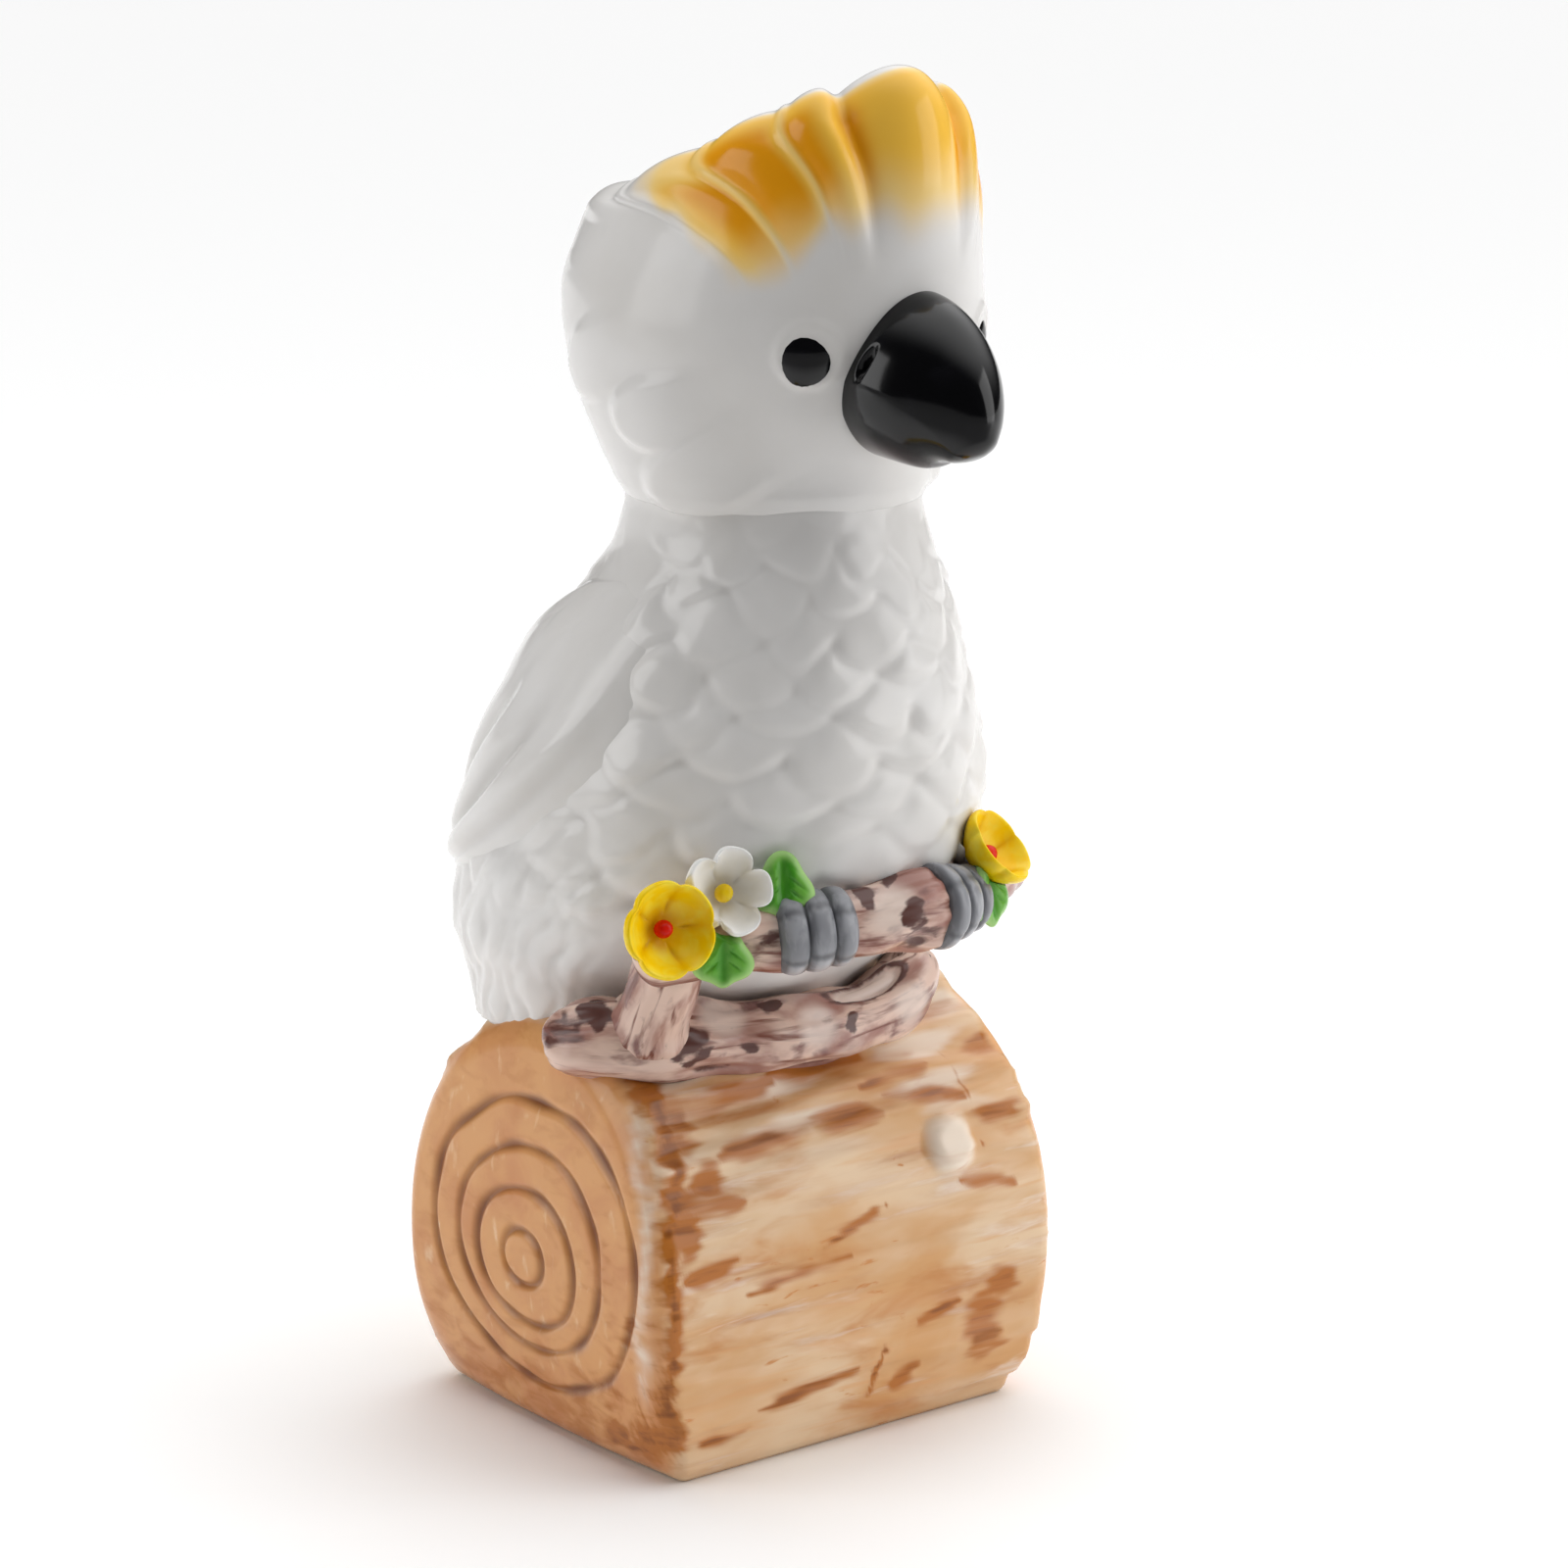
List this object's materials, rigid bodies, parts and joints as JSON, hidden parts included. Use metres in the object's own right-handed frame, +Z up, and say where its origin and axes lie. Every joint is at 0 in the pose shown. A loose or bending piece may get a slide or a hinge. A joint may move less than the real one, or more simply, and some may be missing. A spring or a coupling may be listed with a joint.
{
  "type": "porcelain cockatoo figurine",
  "caption": "Glazed porcelain cockatoo with a fluted yellow crest, perched on a flowering branch above a sawn log that stands flat on a table.",
  "frame": {"origin": "centre of the log's flat foot, on the table", "axes": "+Z up, the bird faces -Y, the log lies along X"},
  "size_m": [0.0842, 0.1112, 0.2107],
  "materials": {
    "white_glaze": "glossy white glaze",
    "black_enamel": "glossy black enamel",
    "bark_glaze": "glossy tan glaze with brushed brown strokes",
    "branch_glaze": "glossy mauve-brown glaze, brushed in patches",
    "claw_glaze": "glossy slate grey glaze",
    "yellow_enamel": "glossy yellow enamel",
    "red_enamel": "glossy red enamel",
    "leaf_enamel": "glossy green enamel"
  },
  "bodies": {
    "root": {"log": "bark_glaze", "lower_branch": "branch_glaze", "perch": "branch_glaze", "torso": "white_glaze", "head": "white_glaze", "beak": "black_enamel", "right_eye": "black_enamel", "left_eye": "black_enamel", "right_wing": "white_glaze", "left_wing": "white_glaze", "tail": "white_glaze", "right_foot": "claw_glaze", "left_foot": "claw_glaze", "right_yellow_flower": "yellow_enamel", "left_yellow_flower": "yellow_enamel", "right_white_flower": "white_glaze", "left_white_flower": "white_glaze", "right_yellow_flower_bead": "red_enamel", "left_yellow_flower_bead": "red_enamel", "right_white_flower_bead": "yellow_enamel", "left_white_flower_bead": "yellow_enamel", "right_upper_leaf": "leaf_enamel", "right_lower_leaf": "leaf_enamel", "left_leaf": "leaf_enamel"}
  },
  "joints": []
}
